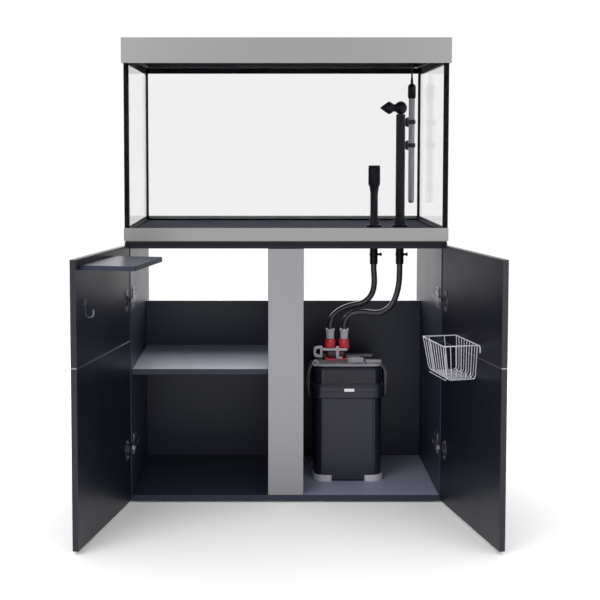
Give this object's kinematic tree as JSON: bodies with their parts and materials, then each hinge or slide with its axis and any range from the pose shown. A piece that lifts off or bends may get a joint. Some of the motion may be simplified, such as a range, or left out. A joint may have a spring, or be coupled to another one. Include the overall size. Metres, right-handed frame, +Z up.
{
  "type": "aquarium on stand",
  "caption": "Glass aquarium with a metal-trimmed hood on a dark two-door cabinet, with a canister filter, heater, pipework, door shelf, net hook and wire basket.",
  "frame": {"origin": "centre of the footprint, open doors included and the heater's lead left out, on the floor under the runners", "axes": "+Z up; -Y is the front, the side the doors open towards; +X to the right of someone facing the front"},
  "size_m": [1.0924, 0.9481, 1.334],
  "materials": {
    "dark_board": "satin dark melamine faces with matching edging",
    "brushed_aluminium": "brushed, clear anodised",
    "chrome": "nickel plated steel",
    "coated_wire": "light grey coating on steel wire",
    "clear_glass": "clear polished",
    "black_rubber": "matt",
    "black_plastic": "fine texture",
    "black_hose": "smooth satin",
    "grey_plastic": "satin",
    "red_plastic": "satin",
    "white_plastic": "satin diffuser and housing"
  },
  "bodies": {
    "cabinet_and_tank": {"base_panel": "dark_board", "left_side_panel": "dark_board", "right_side_panel": "dark_board", "top_panel": "dark_board", "back_panel": "dark_board", "centre_divider": "dark_board", "cabinet_shelf": "dark_board", "centre_fascia": "brushed_aluminium", "tank_base_frame": "brushed_aluminium", "hood_frame": "brushed_aluminium", "left_upper_hinge_arm": "chrome", "left_lower_hinge_arm": "chrome", "right_upper_hinge_arm": "chrome", "right_lower_hinge_arm": "chrome", "bottom_glass": "clear_glass", "front_glass": "clear_glass", "rear_glass": "clear_glass", "left_glass": "clear_glass", "right_glass": "clear_glass", "heater_tube": "clear_glass", "left_runner": "black_rubber", "centre_runner": "black_rubber", "right_runner": "black_rubber", "support_mat": "black_rubber", "silicone_seam": "black_rubber", "filter_canister": "black_plastic", "filter_head": "black_plastic", "intake_bulkhead": "black_plastic", "outlet_bulkhead": "black_plastic", "intake_pipe": "black_plastic", "outlet_pipe": "black_plastic", "intake_strainer": "black_plastic", "heater_head": "black_plastic", "heater_plug": "black_plastic", "intake_hose": "black_hose", "outlet_hose": "black_hose", "heater_cord": "black_hose", "heater_coil": "black_hose", "filter_media_basket": "grey_plastic", "filter_valve": "red_plastic", "light_bar": "white_plastic"},
    "left_door": {"left_door_upper": "dark_board", "left_door_strip": "brushed_aluminium", "left_door_lower": "dark_board", "left_upper_hinge_cup": "chrome", "left_lower_hinge_cup": "chrome", "door_shelf": "dark_board", "net_hook": "chrome"},
    "right_door": {"right_door_upper": "dark_board", "right_door_strip": "brushed_aluminium", "right_door_lower": "dark_board", "right_upper_hinge_cup": "chrome", "right_lower_hinge_cup": "chrome"},
    "basket": {"wire_basket": "coated_wire"},
    "hood_flap": {"feeding_flap": "black_plastic"},
    "left_clamp": {"filter_clamp_left": "grey_plastic"},
    "right_clamp": {"filter_clamp_right": "grey_plastic"},
    "shutoff_lever": {"valve_lever": "grey_plastic"},
    "primer": {"primer_button": "grey_plastic"},
    "nozzle": {"outlet_nozzle": "black_plastic"}
  },
  "joints": [
    {"name": "left_door_swing", "type": "hinge", "parent": "cabinet_and_tank", "child": "left_door", "pos_m": [-0.455, -0.07105, 0.378], "axis": [0, 0, -1], "range_deg": [-102, 8]},
    {"name": "right_door_swing", "type": "hinge", "parent": "cabinet_and_tank", "child": "right_door", "pos_m": [0.455, -0.07105, 0.378], "axis": [0, 0, 1], "range_deg": [-102, 8]},
    {"name": "basket_lift", "type": "slide", "parent": "right_door", "child": "basket", "axis": [0, 0, 1], "range_m": [0, 0.03]},
    {"name": "flap_hinge", "type": "hinge", "parent": "cabinet_and_tank", "child": "hood_flap", "pos_m": [0, 0.12295, 1.334], "axis": [-1, 0, 0], "range_deg": [0, 95]},
    {"name": "left_clamp_hinge", "type": "hinge", "parent": "cabinet_and_tank", "child": "left_clamp", "pos_m": [0.0845, 0.16145, 0.365], "axis": [0, 1, 0], "range_deg": [0, 38]},
    {"name": "right_clamp_hinge", "type": "hinge", "parent": "cabinet_and_tank", "child": "right_clamp", "pos_m": [0.2965, 0.16145, 0.365], "axis": [0, -1, 0], "range_deg": [0, 38]},
    {"name": "lever_hinge", "type": "hinge", "parent": "cabinet_and_tank", "child": "shutoff_lever", "pos_m": [0.163, 0.13135, 0.411], "axis": [0, 1, 0], "range_deg": [0, 60]},
    {"name": "primer_push", "type": "slide", "parent": "cabinet_and_tank", "child": "primer", "axis": [0, 0, -1], "range_m": [0, 0.012], "stiffness_N_per_m": 400},
    {"name": "nozzle_swivel", "type": "hinge", "parent": "cabinet_and_tank", "child": "nozzle", "pos_m": [0.351, 0.15095, 1.1448], "axis": [0, 0, 1], "range_deg": [-90, 90]}
  ]
}
